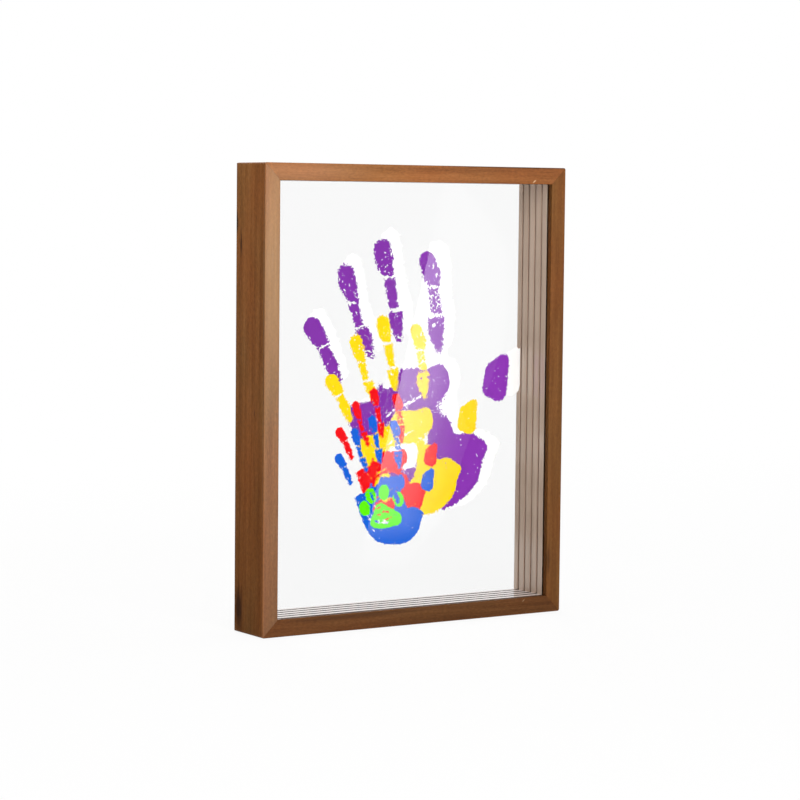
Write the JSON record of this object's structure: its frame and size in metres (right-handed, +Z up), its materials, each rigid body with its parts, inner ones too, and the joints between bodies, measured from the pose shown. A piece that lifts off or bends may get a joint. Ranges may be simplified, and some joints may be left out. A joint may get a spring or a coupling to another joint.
{
  "type": "handprint keepsake frame",
  "caption": "Deep walnut box frame holding spaced clear panels, each with a painted hand or paw print, with turn buttons and a sawtooth hanger at the rear.",
  "frame": {"origin": "middle of the bottom rail's underside, halfway between the front and rear faces", "axes": "+X to the viewer's right, +Y from the front face to the rear, +Z up"},
  "size_m": [0.245, 0.0424, 0.315],
  "materials": {
    "walnut": "satin oiled walnut",
    "clear_acrylic": "clear polished acrylic",
    "greige_acrylic": "semi-gloss warm grey",
    "turn_button_steel": "zinc plated",
    "screw_steel": "zinc plated",
    "nail_steel": "bare steel",
    "hanger_brass": "brass plated",
    "green_paint": "acrylic paint",
    "blue_paint": "acrylic paint",
    "red_paint": "acrylic paint",
    "yellow_paint": "acrylic paint",
    "purple_paint": "acrylic paint",
    "white_paint": "acrylic paint"
  },
  "bodies": {
    "frame": {"blue_hand_print": "blue_paint", "bottom_rail": "walnut", "button_screws": "screw_steel", "corner_v_nails": "nail_steel", "hanger_nails": "hanger_brass", "left_stile": "walnut", "panel_1": "clear_acrylic", "panel_2": "clear_acrylic", "panel_3": "clear_acrylic", "panel_4": "clear_acrylic", "panel_5": "clear_acrylic", "paw_print": "green_paint", "purple_hand_print": "purple_paint", "red_hand_print": "red_paint", "right_stile": "walnut", "sawtooth_hanger": "hanger_brass", "spacer_1_bottom": "greige_acrylic", "spacer_1_left": "greige_acrylic", "spacer_1_right": "greige_acrylic", "spacer_1_top": "greige_acrylic", "spacer_2_bottom": "greige_acrylic", "spacer_2_left": "greige_acrylic", "spacer_2_right": "greige_acrylic", "spacer_2_top": "greige_acrylic", "spacer_3_bottom": "greige_acrylic", "spacer_3_left": "greige_acrylic", "spacer_3_right": "greige_acrylic", "spacer_3_top": "greige_acrylic", "spacer_4_bottom": "greige_acrylic", "spacer_4_left": "greige_acrylic", "spacer_4_right": "greige_acrylic", "spacer_4_top": "greige_acrylic", "spacer_5_bottom": "greige_acrylic", "spacer_5_left": "greige_acrylic", "spacer_5_right": "greige_acrylic", "spacer_5_top": "greige_acrylic", "top_rail": "walnut", "white_coat": "white_paint", "yellow_hand_print": "yellow_paint"},
    "left_lower_button": {"left_lower_button": "turn_button_steel"},
    "left_upper_button": {"left_upper_button": "turn_button_steel"},
    "right_lower_button": {"right_lower_button": "turn_button_steel"},
    "right_upper_button": {"right_upper_button": "turn_button_steel"},
    "bottom_left_button": {"bottom_left_button": "turn_button_steel"},
    "bottom_right_button": {"bottom_right_button": "turn_button_steel"},
    "top_left_button": {"top_left_button": "turn_button_steel"},
    "top_right_button": {"top_right_button": "turn_button_steel"}
  },
  "joints": [
    {"name": "left_lower_turn", "type": "hinge", "parent": "frame", "child": "left_lower_button", "pos_m": [-0.1178, 0.02, 0.0825], "axis": [0, 1, 0], "range_deg": [-90, 90]},
    {"name": "left_upper_turn", "type": "hinge", "parent": "frame", "child": "left_upper_button", "pos_m": [-0.1178, 0.02, 0.2325], "axis": [0, 1, 0], "range_deg": [-90, 90]},
    {"name": "right_lower_turn", "type": "hinge", "parent": "frame", "child": "right_lower_button", "pos_m": [0.1178, 0.02, 0.0825], "axis": [0, 1, 0], "range_deg": [-90, 90]},
    {"name": "right_upper_turn", "type": "hinge", "parent": "frame", "child": "right_upper_button", "pos_m": [0.1178, 0.02, 0.2325], "axis": [0, 1, 0], "range_deg": [-90, 90]},
    {"name": "bottom_left_turn", "type": "hinge", "parent": "frame", "child": "bottom_left_button", "pos_m": [-0.055, 0.02, 0.0047], "axis": [0, 1, 0], "range_deg": [-90, 90]},
    {"name": "bottom_right_turn", "type": "hinge", "parent": "frame", "child": "bottom_right_button", "pos_m": [0.055, 0.02, 0.0047], "axis": [0, 1, 0], "range_deg": [-90, 90]},
    {"name": "top_left_turn", "type": "hinge", "parent": "frame", "child": "top_left_button", "pos_m": [-0.055, 0.02, 0.3103], "axis": [0, 1, 0], "range_deg": [-90, 90]},
    {"name": "top_right_turn", "type": "hinge", "parent": "frame", "child": "top_right_button", "pos_m": [0.055, 0.02, 0.3103], "axis": [0, 1, 0], "range_deg": [-90, 90]}
  ]
}
